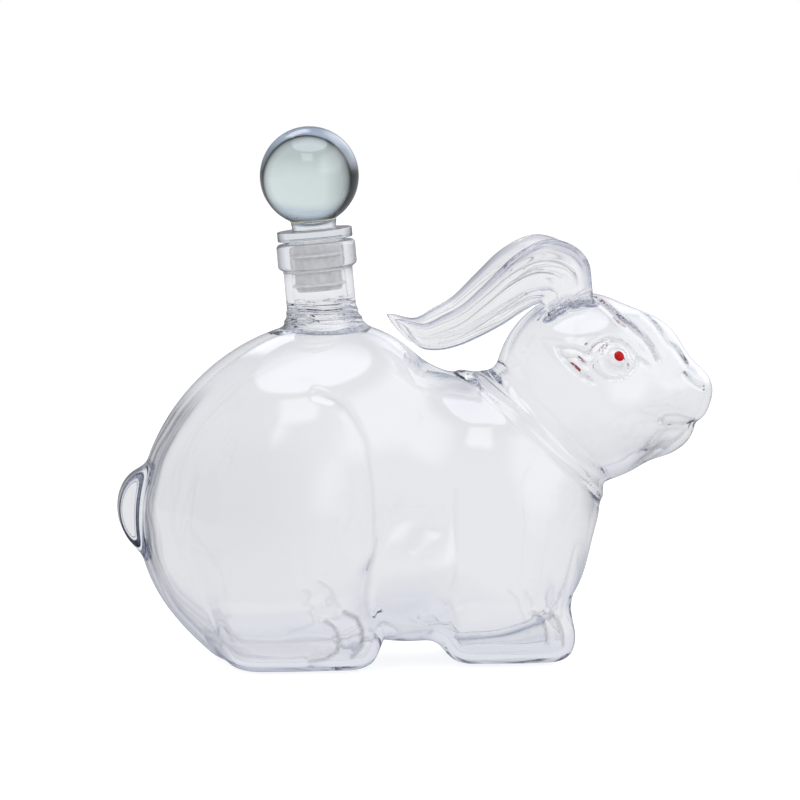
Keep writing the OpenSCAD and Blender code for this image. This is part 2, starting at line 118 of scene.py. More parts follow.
def oval(x, y, z, at, r, pitch=0):
    """About the distance to an ellipsoid."""
    x, y, z = x - at[0], y - at[1], z - at[2]
    if pitch:
        c, s = math.cos(math.radians(pitch)), math.sin(math.radians(pitch))
        x, z = x * c - z * s, x * s + z * c
    x, y, z = x / r[0], y / r[1], z / r[2]
    near = np.sqrt(x * x + y * y + z * z)
    slope = np.sqrt((x / r[0]) ** 2 + (y / r[1]) ** 2 + (z / r[2]) ** 2)
    return near * (near - 1) / np.maximum(slope, 1e-9)


def rod(x, y, z, a, b, r):
    """Distance to a rod with round ends."""
    v = [b[i] - a[i] for i in range(3)]
    t = ((x - a[0]) * v[0] + (y - a[1]) * v[1] + (z - a[2]) * v[2]) / sum(e * e for e in v)
    t = np.clip(t, 0, 1)
    return np.sqrt((x - a[0] - t * v[0]) ** 2 + (y - a[1] - t * v[1]) ** 2 + (z - a[2] - t * v[2]) ** 2) - r


def joined(a, b, k):
    """Both solids together, with a fillet of about k."""
    h = np.maximum(k - np.abs(a - b), 0) / k
    return np.minimum(a, b) - h * h * k / 4


def cut(a, b, k):
    """What both solids share, with its edge rounded by about k."""
    return -joined(-a, -b, k)


def rounded(a, b, r):
    """What two solids share, with an edge of radius r. Both are given r smaller."""
    return np.sqrt(np.maximum(a, 0) ** 2 + np.maximum(b, 0) ** 2) + np.minimum(np.maximum(a, b), 0) - r


def forms(x, y, z, table, size, at):
    """Distance to the ovals of a table, melted together."""
    d = None
    for place, radii, pitch, share in table:
        centre = tuple(a + b for a, b in zip(at, scaled(place, size)))
        e = oval(x, y, z, centre, scaled(radii, size), pitch)
        d = e if d is None else joined(d, e, MELT * share)
    return d


def rabbit(x, y, z, melt=MELT, thinner=0.0):
    """Distance to the plain rabbit, the same form as the CAD shells. The feet can melt in more and be thinner."""
    y = np.abs(y)
    body = forms(x, y, z, BODY_FORMS, BODY, (0, 0, 0))
    for heel, toe, r in FEET:
        body = joined(body, rod(x, y, z, scaled(heel, BODY), scaled(toe, BODY), r - thinner), melt)
    head = forms(x, y, z, HEAD_FORMS, HEAD, HEAD_AT)
    return joined(body, head, MELT * HEAD_MELT)


REACH, REACH_STEPS, NUDGE = 90.0, 361, 0.05


def first_hit(c, u):
    """How far the plain rabbit's surface lies from c along each unit direction in u."""
    t = np.linspace(0, REACH, REACH_STEPS)
    p = c[:, None, :] + u[:, None, :] * t[None, :, None]
    d = rabbit(p[..., 0], p[..., 1], p[..., 2])
    i = np.argmax(d > 0, axis=1)
    row = np.arange(len(c))
    a, b = d[row, i - 1], d[row, i]
    lo = t[i - 1] + (t[i] - t[i - 1]) * a / (a - b)
    for _ in range(3):
        q = c + u * lo[:, None]
        q2 = q + u * NUDGE
        d1 = rabbit(q[:, 0], q[:, 1], q[:, 2])
        d2 = rabbit(q2[:, 0], q2[:, 1], q2[:, 2])
        lo = lo - d1 / np.maximum((d2 - d1) / NUDGE, 0.3)
    return lo


SEAM_N = np.array([math.cos(SEAM), 0.0, math.sin(SEAM)])
HEAD_CORE = np.array([SEAM_AT[0], 0.0, SEAM_AT[1]]) + SEAM_N * HEAD[0] * 0.33


def gradient(field, p):
    """Which way a field rises at each point."""
    step = 0.08
    g = np.empty_like(p)
    for a in range(3):
        hi, lo = p.copy(), p.copy()
        hi[:, a] += step
        lo[:, a] -= step
        g[:, a] = field(hi[:, 0], hi[:, 1], hi[:, 2]) - field(lo[:, 0], lo[:, 1], lo[:, 2])
    return g / (2 * step)


def unit(v):
    return v / np.linalg.norm(v, axis=-1, keepdims=True)


# The eye beads: place and outward direction on the left side, how far they stand proud, and their radius
eye_way = unit(np.array([[HEAD_AT[0] + 0.06 * HEAD[0], 0.38 * HEAD[1], HEAD_AT[2] + 0.20 * HEAD[2]]]) - HEAD_CORE)
EYE_AT = (HEAD_CORE + eye_way * first_hit(HEAD_CORE[None], eye_way)[:, None])[0]
EYE_N = unit(gradient(rabbit, EYE_AT[None]))[0]
EYE_RISE, EYE_BALL = 2.4, 5.376

# Lines drawn in the side view, as x and z of their points on the side's own surface. Each has a width, a depth
# (a ridge is below zero), the distance from the middle where it begins, and how much painted shade darkens it.
LINES = [
    # thigh's front edge
    ([(-44.7, 112.3), (-37.9, 109.9), (-33.9, 106.8), (-29.9, 100.8), (-26.7, 94), (-24.3, 84), (-23.1, 74.1),
      (-22.3, 62.1), (-22.7, 50.2), (-27.1, 43.4)], 1.9, 0.8, 18, 0.16),
    # top of the hind foot, and the fold above it
    ([(-77.6, 25.9), (-63.6, 26.7), (-51.6, 27.9), (-43.6, 29.9)], 2.6, 0.3, 24, 0.0),
    ([(-53.6, 52.0), (-52.0, 46.0), (-51.4, 40.0)], 1.8, -0.5, 24, 0.0),
    # toes of the hind foot
    ([(-42.6, 22.6), (-38.6, 19.8), (-36.6, 14.7), (-37.8, 9.4), (-42.6, 6.5), (-48.2, 5.7)], 1.5, 0.28, 20, 0.55),
    ([(-34.6, 25.6), (-29.6, 22.8), (-27.2, 17.6), (-27.6, 11.7), (-31.4, 7.3)], 1.8, 0.3, 18, 0.65),
    # toes of the forefoot
    ([(42.4, 23.3), (46.4, 20.1), (48.0, 15.2), (48.4, 10)], 1.4, 0.28, 14, 0.5),
    ([(49.6, 22.9), (52.9, 19.3), (54.9, 14), (55.3, 8.8)], 1.4, 0.28, 12, 0.5),
    # rear line of the foreleg and its fold
    ([(11.3, 73.3), (10.9, 55.4), (10.5, 39.4), (7.3, 29.4)], 2.2, 0.5, 18, 0.10),
    ([(7.3, 29.4), (10.9, 23.4), (13.7, 9.4)], 2.4, 0.25, 16, 0.12),
    # lids
    ([(65.9, 125.6), (68.3, 128.9), (71.5, 130.9), (75.6, 131.7), (80.4, 130.5), (84.4, 127.3), (87.3, 123.6),
      (91.3, 120.8)], 1.1, 0.8, 12, 0.35),
    ([(67.5, 120.8), (69.9, 118.4), (73.2, 116.4), (76.8, 116), (81.2, 117.2), (84.4, 120), (86.9, 123.2)],
     1.0, 0.6, 12, 0.25),
    # folds behind the eye
    ([(54.3, 128.6), (60.4, 128.2), (65.6, 126.2)], 1.1, 0.7, 14, 0.3),
    ([(55.1, 126.6), (59.2, 121.4), (63.6, 117.4), (67.2, 115.4)], 1.2, 0.7, 14, 0.3),
    ([(56.5, 125.0), (61.5, 124.6), (64.5, 121.6)], 1.0, 0.5, 14, 0.2),
    # brow
    ([(69.5, 149.7), (74.8, 144.5), (80.9, 138.8), (87.0, 134.3), (91.0, 131.1), (93.9, 127.1), (95.9, 122.6)],
     1.4, 1.1, 5, 0.6),
    # along the nose
    ([(91.5, 141.5), (96.5, 136.0), (100.6, 129.6), (104.6, 126.0), (108.6, 119.8)], 1.3, 0.8, 3, 0.35),
    # nostril
    ([(107.5, 116), (110.3, 113.2), (113.2, 111.2), (115.6, 110.4)], 1.1, 0.9, 2, 0.3),
    # upper lip
    ([(96.3, 98.8), (98.6, 100.3), (104.0, 100.0), (112.5, 97.4)], 1.2, 0.4, 0, 0.30),
    ([(96.3, 98.6), (100.0, 96.8), (106.0, 95.9), (114.0, 95.6)], 1.4, 0.9, 0, 0.32),
    # lower lip
    ([(91.6, 89.6), (94.8, 93.6), (101.0, 94.2), (109.0, 93.6)], 1.4, 0.4, 3, 0.26),
    # chin
    ([(88.5, 86.2), (97.0, 86.8), (104.5, 89.6), (110.0, 93.4)], 1.7, 0.3, 2, 0.32),
]
# The far side's share of them, the run-in from where they begin, and their painted dark core's share of the width
FAR_SIDE, RUN_IN, CORE = 0.35, 6, 0.55


def carved(x, y, z, d):
    """The folds and lines pressed into the glass, and the painted shade each lays along itself."""
    d, dark = d.copy(), np.zeros_like(d)
    side = np.abs(y)
    for pts, wide, deep, begin, shade in LINES:
        p = np.array(pts)
        lo, hi = p.min(0) - 3 * wide, p.max(0) + 3 * wide
        m = (x > lo[0]) & (x < hi[0]) & (z > lo[1]) & (z < hi[1]) & (side > begin)
        if not m.any():
            continue
        mx, mz, my = x[m], z[m], side[m]
        best = None
        for (ax, az), (bx, bz) in zip(pts, pts[1:]):
            vx, vz = bx - ax, bz - az
            t = np.clip(((mx - ax) * vx + (mz - az) * vz) / (vx * vx + vz * vz), 0, 1)
            e = (mx - ax - t * vx) ** 2 + (mz - az - t * vz) ** 2
            best = e if best is None else np.minimum(best, e)
        share = (np.clip((my - begin) / RUN_IN, 0, 1) if begin else 1.0) * np.where(y[m] > 0, FAR_SIDE, 1.0)
        d[m] += deep * np.exp(-best / wide**2) * share
        dark[m] = np.maximum(dark[m], shade * np.exp(-best / (CORE * wide) ** 2) * share)
    return d, dark


# The neck along its own axis: tube and bore, how deep it reaches into the body, and the collar of the mouth
TUBE_R, TUBE_TOP, BORE_R, NECK_DEEP = 14.0, 30, 11.0, 9
COLLAR_R, COLLAR_MID, COLLAR_HALF, COLLAR_ROUND = 16.0, 26.75, 5.25, 1.6


def neck_frame(x, y, z):
    """Height along the neck, distance from its axis and turn about it."""
    px, pz = x - NECK_FOOT[0], z - NECK_FOOT[2]
    h = px * NECK_UP[0] + pz * NECK_UP[2]
    s = px * NECK_SIDE[0] + pz * NECK_SIDE[2]
    return h, np.sqrt(s * s + y * y), np.arctan2(y, s)


def neck_outside(h, r, turn):
    """Distance to the neck, with its flared and wrinkled foot, and its collar."""
    flare = 2.6 * (np.clip(7 - h, 0, 11) / 9) ** 1.8
    wave = h + 0.9 * np.sin(turn + 0.6) + 0.45 * np.sin(2 * turn + 1.1)
    fold = 0.40 * np.sin(wave * 1.9) * np.exp(-(((h - 1.5) / 3.4) ** 2))
    tube = np.maximum(np.maximum(r - TUBE_R - flare - fold, h - TUBE_TOP), -(h + NECK_DEEP))
    past = np.abs(h - COLLAR_MID) - (COLLAR_HALF - COLLAR_ROUND)
    return joined(tube, rounded(r - (COLLAR_R - COLLAR_ROUND), past, COLLAR_ROUND), 1.2)


# Inside, the feet melt in more softly and are thinner, and the floor is a little thicker than the wall
HOLLOW_MELT, HOLLOW_THINNER = 16.0, 1.0
FLOOR, FLOOR_MELT = 3.4, 4
UNEVEN = 0.12


def hollow(x, y, z):
    """Distance to the space inside: the rabbit less its wall, and the bore of the neck."""
    wave = (
        np.sin(0.105 * x + 0.7) * np.sin(0.093 * z + 0.4) + 0.6 * np.sin(0.17 * x - 0.13 * z + 0.11 * np.abs(y))
        + 0.4 * np.sin(0.31 * z + 0.21 * x + 1.9)
    )
    d = cut(rabbit(x, y, z, HOLLOW_MELT, HOLLOW_THINNER) + WALL + UNEVEN * wave, FLOOR - z, FLOOR_MELT)
    h, r, _ = neck_frame(x, y, z)
    lip = np.exp(-(((h - 32.2) / 0.9) ** 2))
    return joined(d, np.maximum(r - BORE_R - lip, -(h + NECK_DEEP)), 2.5)


# Rows along an ear's blade: how far back and up from its root, how far it swings out and how wide it is, as shares
# of the lengths below, and the angle of its width in degrees
EAR_ROWS = np.array([
    [0.000, 0.000, 0.0, 0.61, 34],
    [0.034, 0.100, 0.1, 0.73, 42],
    [0.115, 0.139, 0.3, 0.85, 57],
    [0.230, 0.132, 0.6, 0.90, 70],
    [0.365, 0.061, 0.9, 0.81, 79],
    [0.500, -0.040, 1.0, 0.64, 82],
    [0.624, -0.128, 0.9, 0.49, 83],
    [0.740, -0.175, 0.7, 0.41, 82],
    [0.850, -0.195, 0.4, 0.28, 80],
    [0.952, -0.140, 0.2, 0.14, 85],
    [0.985, -0.118, 0.15, 0.07, 88],
])
EAR_LONG, EAR_WIDE, EAR_THICK, EAR_CUP, EAR_Y, EAR_SWING, EAR_SUNK = 71.0, 35.6, 7.0, 4.0, 14.0, 6.0, 0.8
EAR_ROOT = np.array([HEAD_AT[0] - 0.11 * HEAD[0], 0, HEAD_AT[2] + 0.49 * HEAD[2]])


def ear_root(turns):
    """The ring on the head where an ear is melted on, on the left side."""
    turn = np.arange(turns) * 2 * math.pi / turns
    s, v = np.cos(turn), np.sin(turn)
    wide, angle = EAR_ROWS[0, 3], math.radians(EAR_ROWS[0, 4])
    across = (math.cos(angle), 0, math.sin(angle))
    ring = np.array([EAR_ROOT[0], EAR_Y, EAR_ROOT[2]]) + np.outer(s * wide * EAR_WIDE / 2, across)
    ring[:, 1] += EAR_THICK / 2 * math.sqrt(wide) * v * (1 + 0.35 * s) + EAR_CUP * wide * (s * s - 0.5)
    for spread in (1.0, 1.1):
        mid = ring.mean(0)
        u = unit(mid + (ring - mid) * spread - HEAD_CORE)
        ring = HEAD_CORE + u * (first_hit(np.repeat(HEAD_CORE[None], turns, 0), u) - EAR_SUNK)[:, None]
    return ring


EAR_BEAD = ear_root(30)


def ear_bead(x, y, z, d):
    """The crumpled bead of melted glass round an ear's root."""
    lo, hi = EAR_BEAD.min(0) - 5, EAR_BEAD.max(0) + 5
    m = (x > lo[0]) & (x < hi[0]) & (np.abs(y) > lo[1]) & (np.abs(y) < hi[1]) & (z > lo[2]) & (z < hi[2])
    if not m.any():
        return d
    mx, my, mz, near = x[m], np.abs(y[m]), z[m], None
    for i, at in enumerate(EAR_BEAD):
        r = 1.3 + 0.55 * math.sin(i * 2.1) + 0.45 * math.sin(i * 3.7 + 1)
        e = np.sqrt((mx - at[0]) ** 2 + (my - at[1]) ** 2 + (mz - at[2]) ** 2) - r
        near = e if near is None else joined(near, e, 1.2)
    d = d.copy()
    d[m] = joined(d[m], near, 1.5)
    return d


# The tail's tab: place, radii, pitch, half its thickness and its rounding
TAIL_AT, TAIL_R, TAIL_PITCH, TAIL_HALF, TAIL_ROUND = (-108.0, 0, 62.5), (13.6, 11.5, 17.5), -9, 9.5, 3
# The glass stays this much inside the plain form, and this much more at its widest, so that it keeps to the CAD box
INSET, INSET_WIDE = 0.12, 0.35


def outside(x, y, z, fine):
    """Distance to the whole vessel's outside. fine adds what is pressed and melted into it."""
    d = rabbit(x, y, z) + INSET + INSET_WIDE * np.clip((np.abs(y) - 45) / 10, 0, 1)
    rim = oval(x, 0 * y, z, TAIL_AT, TAIL_R, TAIL_PITCH) + TAIL_ROUND
    d = joined(d, rounded(rim, np.abs(y) - TAIL_HALF + TAIL_ROUND, TAIL_ROUND), 4)
    if fine:
        s = (x - SEAM_AT[0]) * SEAM_N[0] + (z - SEAM_AT[1]) * SEAM_N[2]
        turn = np.arctan2(y, z - SEAM_AT[1])
        s = s + 0.5 * np.sin(3 * turn) + 0.3 * np.sin(7 * turn + 1)
        bead = 0.7 * np.exp(-((s / 1.8) ** 2)) - 0.4 * np.exp(-(((s - 4.0) / 2.2) ** 2))
        bead = bead - 0.3 * np.exp(-(((s + 4.2) / 2.4) ** 2))
        d = d - np.where(np.abs(s) < 9, bead, 0)
        d = carved(x, y, z, d)[0]
        e = (x - EYE_AT[0], np.abs(y) - EYE_AT[1], z - EYE_AT[2])
        up = e[0] * EYE_N[0] + e[1] * EYE_N[1] + e[2] * EYE_N[2]
        ring = np.sqrt(np.maximum(e[0] ** 2 + e[1] ** 2 + e[2] ** 2 - up * up, 0))
        d = d + np.where(np.abs(up) < 6, 0.6 * np.exp(-(((ring - 6.3) / 0.8) ** 2)), 0)
        d = ear_bead(x, y, z, d)
    c = EYE_AT - EYE_N * (EYE_BALL - EYE_RISE)
    bead = np.sqrt((x - c[0]) ** 2 + (np.abs(y) - c[1]) ** 2 + (z - c[2]) ** 2) - EYE_BALL
    d = joined(d, bead, 0.5)
    h, r, turn = neck_frame(x, y, z)
    d = joined(d, neck_outside(h, r, turn), 1.8)
    return cut(d, -z, 5)


def vessel(x, y, z):
    """The glass itself, with all its detail."""
    return cut(outside(x, y, z, True), -hollow(x, y, z), 0.5)


def vessel_plain(x, y, z):
    """The same without the fine detail, quicker, to find where the mesh lies."""
    return np.maximum(outside(x, y, z, False), -hollow(x, y, z))


# ---------------------------------------------------------------- mesh making


def surface(rough, field, lo, hi, cell):
    """A smooth quad mesh of a field that is the same on both sides of y = 0, laid on its zero surface."""
    xs = np.arange(lo[0], hi[0] + cell, cell)
    ys = np.arange(cell / 2, hi[1] + cell, cell)
    zs = np.arange(lo[2], hi[2] + cell, cell)
    half = np.empty((len(xs), len(ys), len(zs)), np.float32)
    gy, gz = np.meshgrid(ys, zs, indexing="ij")
    for i, x in enumerate(xs):
        half[i] = rough(np.full_like(gy, x), gy, gz)
    f = np.concatenate([half[:, ::-1], half], 1)
    ys = np.concatenate([-ys[::-1], ys])
    inside = f < 0
    n = [s - 1 for s in f.shape]
    count = np.zeros(n, np.int8)
    corners = [(a, b, c) for a in (0, 1) for b in (0, 1) for c in (0, 1)]
    for a, b, c in corners:
        count += inside[a:a + n[0], b:b + n[1], c:c + n[2]]
    mixed = (count > 0) & (count < 8)
    idx = np.argwhere(mixed)
    number = np.full(n, -1, np.int64)
    number[mixed] = np.arange(len(idx))
    value = {k: f[idx[:, 0] + k[0], idx[:, 1] + k[1], idx[:, 2] + k[2]].astype(float) for k in corners}
    total, hits = np.zeros((len(idx), 3)), np.zeros(len(idx))
    for k in corners:
        for axis in range(3):
            if k[axis]:
                continue
            other = list(k)
            other[axis] = 1
            va, vb = value[k], value[tuple(other)]
            m = (va < 0) != (vb < 0)
            t = va[m] / (va[m] - vb[m])
            spot = np.repeat(np.array([k], float), m.sum(), 0)
            spot[:, axis] += t
            total[m] += spot
            hits[m] += 1
    p = (idx + total / hits[:, None]) * cell + np.array([xs[0], ys[0], zs[0]])
    quads = []
    for axis in range(3):
        b, c = (axis + 1) % 3, (axis + 2) % 3
        first = [slice(1, -1)] * 3
        second = [slice(1, -1)] * 3
        first[axis], second[axis] = slice(0, -1), slice(1, None)
        fa, fb = inside[tuple(first)], inside[tuple(second)]
        for swap in (False, True):
            e = np.argwhere((fa & ~fb) if not swap else (~fa & fb))
            e = e + 1
            e[:, axis] -= 1
            ring = []
            for db, dc in ((-1, -1), (0, -1), (0, 0), (-1, 0)):
                q = e.copy()
                q[:, b] += db
                q[:, c] += dc
                ring.append(number[q[:, 0], q[:, 1], q[:, 2]])
            ring = np.stack(ring if not swap else ring[::-1], 1)
            quads.append(ring)
    quads = np.concatenate(quads)

    def settle(p, times):
        for _ in range(times):
            d = field(p[:, 0], p[:, 1], p[:, 2])
            g = gradient(field, p)
            step = d[:, None] * g / np.maximum((g * g).sum(1), 0.15)[:, None]
            size = np.linalg.norm(step, axis=1, keepdims=True)
            p = p - step * np.minimum(1, 0.6 * cell / np.maximum(size, 1e-9))
        return p

    p = settle(p, 2)
    for _ in range(4):
        around, links = np.zeros_like(p), np.zeros(len(p))
        for i in range(4):
            a, b = quads[:, i], quads[:, (i + 1) % 4]
            for axis in range(3):
                around[:, axis] += np.bincount(a, p[b, axis], len(p)) + np.bincount(b, p[a, axis], len(p))
            links += np.bincount(a, minlength=len(p)) + np.bincount(b, minlength=len(p))
        p = settle(p + 0.5 * (around / links[:, None] - p), 1)
    p = settle(p, 2)
    return p, quads, unit(gradient(field, p))


def mark(piece, name, values):
    """A number at each point, for the material."""
    layer = piece.data.attributes.new(name, "FLOAT", "POINT")
    layer.data.foreach_set("value", np.asarray(values, np.float32))


def add_mesh(name, points, faces, normals=None):
    """A mesh object from points in millimetres. faces is an array of quads or a list of index lists."""
    mesh = bpy.data.meshes.new(name)
    if isinstance(faces, np.ndarray):
        mesh.vertices.add(len(points))
        mesh.vertices.foreach_set("co", (np.asarray(points) * MM).ravel())
        mesh.loops.add(faces.size)
        mesh.loops.foreach_set("vertex_index", faces.ravel().astype(np.int32))
        mesh.polygons.add(len(faces))
        mesh.polygons.foreach_set("loop_start", np.arange(0, faces.size, faces.shape[1], dtype=np.int32))
        mesh.update(calc_edges=True)
    else:
        mesh.from_pydata([tuple(float(v) * MM for v in p) for p in points], [], faces)
    mesh.validate()
    mesh.polygons.foreach_set("use_smooth", [True] * len(mesh.polygons))
    if normals is not None:
        mesh.normals_split_custom_set_from_vertices([tuple(map(float, n)) for n in normals])
    mesh.update()
    piece = bpy.data.objects.new(name, mesh)
    bpy.context.scene.collection.objects.link(piece)
    return piece


def softened(profile, radius, closed=False, steps=4):
    """Rounds each corner of a profile of (r, h) points and adds points that keep its flats flat."""
    out = []
    n = len(profile)
    for i, p in enumerate(profile):
        if not closed and i in (0, n - 1):
            out.append(p)
            continue
        p = np.array(p, float)
        a, b = np.array(profile[i - 1], float), np.array(profile[(i + 1) % n], float)
        ua, ub = (a - p) / np.linalg.norm(a - p), (b - p) / np.linalg.norm(b - p)
        r = min(radius, 0.45 * np.linalg.norm(a - p), 0.45 * np.linalg.norm(b - p))
        k = min(1.6 * r, 0.49 * np.linalg.norm(a - p))
        out.append(tuple(p + ua * k))
        for j in range(steps + 1):
            t = j / steps
            out.append(tuple((1 - t) ** 2 * (p + ua * r) + 2 * t * (1 - t) * p + t * t * (p + ub * r)))
        k = min(1.6 * r, 0.49 * np.linalg.norm(b - p))
        out.append(tuple(p + ub * k))
    return out


def lathe(name, profile, closed=False, turns=128, at=NECK_FOOT, up=NECK_UP, side=NECK_SIDE, wobble=None):
    """A body turned round an axis. An open profile starts and ends on the axis."""
    across = np.cross(up, side)
    ang = np.arange(turns) * 2 * math.pi / turns
    points, rows = [], []
    for r, h in profile:
        if r < 1e-6:
            rows.append([len(points)])
            points.append(at + up * h)
            continue
        rows.append(list(range(len(points), len(points) + turns)))
        for a in ang:
            rr, hh = (r, h) if wobble is None else wobble(r, h, a)
            points.append(at + up * hh + side * rr * math.cos(a) + across * rr * math.sin(a))
    faces = []
    pairs = list(zip(rows, rows[1:])) + ([(rows[-1], rows[0])] if closed else [])
    for lower, upper in pairs:
        for i in range(turns):
            j = (i + 1) % turns
            if len(lower) == 1 and len(upper) == 1:
                continue
            if len(lower) == 1:
                faces.append([lower[0], upper[j], upper[i]])
            elif len(upper) == 1:
                faces.append([lower[i], lower[j], upper[0]])
            else:
                faces.append([lower[i], lower[j], upper[j], upper[i]])
    return add_mesh(name, points, faces)


# ---------------------------------------------------------------- materials


def node(nt, kind, **values):
    """A shader node with some of its settings, or of its inputs, given by name."""
    n = nt.nodes.new("ShaderNode" + kind)
    for key, v in values.items():
        if hasattr(n, key):
            setattr(n, key, v)
        else:
            n.inputs[key.replace("_", " ")].default_value = v
    return n


def wire(nt, socket, value):
    """Sets a socket to a number or a colour, or links another node's output to it."""
    if isinstance(value, (int, float)):
        socket.default_value = value
    elif isinstance(value, tuple):
        socket.default_value = (*value, 1)
    else:
        nt.links.new(value, socket)


def ramp(nt, fac, stops, ease="EASE"):
    n = nt.nodes.new("ShaderNodeValToRGB")
    n.color_ramp.interpolation = ease
    while len(n.color_ramp.elements) < len(stops):
        n.color_ramp.elements.new(0.5)
    for e, (at, col) in zip(n.color_ramp.elements, stops):
        e.position, e.color = at, (*col, 1)
    wire(nt, n.inputs["Fac"], fac)
    return n.outputs["Color"]


def blend(nt, kind, fac, a, b):
    """Two colours blended."""
    n = node(nt, "Mix", data_type="RGBA", blend_type=kind)
    for socket, value in ((n.inputs[0], fac), (n.inputs[6], a), (n.inputs[7], b)):
        wire(nt, socket, value)
    return n.outputs[2]


def sums(nt, kind, *values):
    """One step of arithmetic."""
    n = node(nt, "Math", operation=kind)
    for socket, value in zip(n.inputs, values):
        wire(nt, socket, value)
    return n.outputs[0]


def chosen(nt, fac, a, b):
    """One shader, or the other where fac is 1."""
    n = node(nt, "MixShader")
    for socket, value in zip(n.inputs, (fac, a, b)):
        wire(nt, socket, value)
    return n.outputs[0]


def attribute(nt, name):
    return node(nt, "Attribute", attribute_name=name).outputs["Fac"]


def new_material(name):
    m = bpy.data.materials.new(name)
    m.use_nodes = True
    nt = m.node_tree
    nt.nodes.clear()
    return m, nt, nt.nodes.new("ShaderNodeOutputMaterial")


def ball_shades(nt, facing):
    """Painted light and shade for what a solid ball gathers from round about: light in the middle, a dark ring of
    painted shade, thicker above and on the right, and a bluish cap beyond the ring's upper arc, a painted reflection."""
    parts = node(nt, "SeparateXYZ")
    nt.links.new(node(nt, "NewGeometry").outputs["Normal"], parts.inputs[0])
    x, z = parts.outputs["X"], parts.outputs["Z"]
    # painted shade: the ring is read from the world's normal, so it lies thicker above and on the right
    front = sums(nt, "SUBTRACT", 1.0, facing)
    rim = sums(nt, "SUBTRACT", 1.01, sums(nt, "MULTIPLY", front, front))
    rim = sums(nt, "MULTIPLY_ADD", z, 0.16, rim)
    rim = sums(nt, "MULTIPLY_ADD", x, 0.10, rim)
    disc = ramp(nt, rim, [(0.0, (1, 1, 1)), (0.52, (1, 1, 1)), (0.66, (0.62, 0.63, 0.63)), (0.73, (0.22, 0.22, 0.22)),
                          (0.77, (0.008, 0.008, 0.008)), (0.80, (0.001, 0.001, 0.001))], "LINEAR")
    z01, x01 = (sums(nt, "MULTIPLY_ADD", v, 0.5, 0.5) for v in (z, x))
    disc = blend(nt, "MULTIPLY", 1.0, disc, ramp(nt, x01, [
        (0.60, (1, 1, 1)), (0.67, (0.74, 0.74, 0.74)), (0.75, (0.52, 0.52, 0.52)), (0.83, (0.29, 0.29, 0.29)),
        (0.88, (0.14, 0.14, 0.14)), (0.92, (0.03, 0.03, 0.03))], "B_SPLINE"))
    disc = blend(nt, "MULTIPLY", 1.0, disc, ramp(nt, z01, [
        (0.50, (1, 1, 1)), (0.62, (0.78, 0.78, 0.78)), (0.72, (0.50, 0.51, 0.52)),
        (0.86, (0.50, 0.51, 0.53))], "B_SPLINE"))
    # a painted bluish reflection, shown beyond the ring's upper arc
    cap = ramp(nt, z01, [(0.56, (0.001, 0.001, 0.001)), (0.78, (0.10, 0.13, 0.20)),
                         (0.92, (0.42, 0.46, 0.68))], "LINEAR")
    far = ramp(nt, rim, [(0.80, (0, 0, 0)), (0.87, (1, 1, 1))], "LINEAR")
    return blend(nt, "MIX", far, disc, cap)


def ripples(nt, strength, size, welded):
    """A faint waviness of the surface. Where welded, the mark "weld" brings out rings round the upright."""
    wave = node(nt, "TexNoise", Scale=size, Detail=1.5)
    nt.links.new(node(nt, "TexCoord").outputs["Object"], wave.inputs["Vector"])
    bump = node(nt, "Bump", Strength=strength, Distance=0.001)
    nt.links.new(wave.outputs["Fac"], bump.inputs["Height"])
    if welded:
        rings = node(nt, "TexWave", wave_type="BANDS", bands_direction="Z",
                     Scale=150, Distortion=5, Detail=1.0, Detail_Scale=0.35)
        nt.links.new(node(nt, "TexCoord").outputs["Object"], rings.inputs["Vector"])
        fine = node(nt, "Bump", Strength=0.9, Distance=0.0006)
        nt.links.new(sums(nt, "MULTIPLY", rings.outputs["Fac"], attribute(nt, "weld")), fine.inputs["Height"])
        nt.links.new(fine.outputs["Normal"], bump.inputs["Normal"])
    return bump.outputs["Normal"]


def glass(name, edge, volume, ripple, ripple_size, ior=1.5, lets=0.9, inner=0.3, dark=None, ball=False):
    """Clear glass. edge is its colour from head on to grazing, where the light's way through it is long; its
    darkening towards grazing is painted shade, for the dark outlines that the glass bends in.
    dark is the same, deeper, as painted shade where the mark "rim" is 1, and then the mark "fold" paints shade along
    its lines.
    ball paints in the dark ring that a ball shows as painted shade, and its bluish cap as a painted reflection.
    volume is the colour and the density of its body, lets the light in its shadow, and inner the share of the
    edge's colour on the way out."""
    m, nt, out = new_material(name)
    L = nt.links
    facing = node(nt, "LayerWeight", Blend=0.5).outputs["Facing"]
    # the colour darkens towards grazing as painted shade
    if ball:
        colour = ball_shades(nt, facing)
    else:
        colour = ramp(nt, facing, edge)
    # painted shade: the dark ramp where the mark rim is 1, and darker lines where the mark fold is high
    if dark:
        colour = blend(nt, "MIX", attribute(nt, "rim"), colour, ramp(nt, facing, dark))
        lines = ramp(nt, attribute(nt, "fold"), [(0.0, (1, 1, 1)), (1.0, (0.02, 0.02, 0.03))], "LINEAR")
        colour = blend(nt, "MULTIPLY", 1.0, colour, lines)
    back = node(nt, "MapRange", To_Min=1.0, To_Max=inner)
    L.new(node(nt, "NewGeometry").outputs["Backfacing"], back.inputs["Value"])
    p = node(nt, "BsdfPrincipled", Roughness=0.0, IOR=ior, Transmission_Weight=1.0)
    L.new(blend(nt, "MIX", back.outputs[0], (1, 1, 1), colour), p.inputs["Base Color"])
    L.new(ripples(nt, ripple, ripple_size, bool(dark)), p.inputs["Normal"])
    clear = node(nt, "BsdfTransparent", Color=(lets, lets, lets, 1))
    path = node(nt, "LightPath")
    dim = sums(nt, "MAXIMUM", path.outputs["Is Shadow Ray"], path.outputs["Is Diffuse Ray"])
    L.new(chosen(nt, dim, p.outputs[0], clear.outputs[0]), out.inputs["Surface"])
    v = node(nt, "VolumeAbsorption", Color=(*volume[0], 1), Density=volume[1])
    L.new(v.outputs[0], out.inputs["Volume"])
    return m


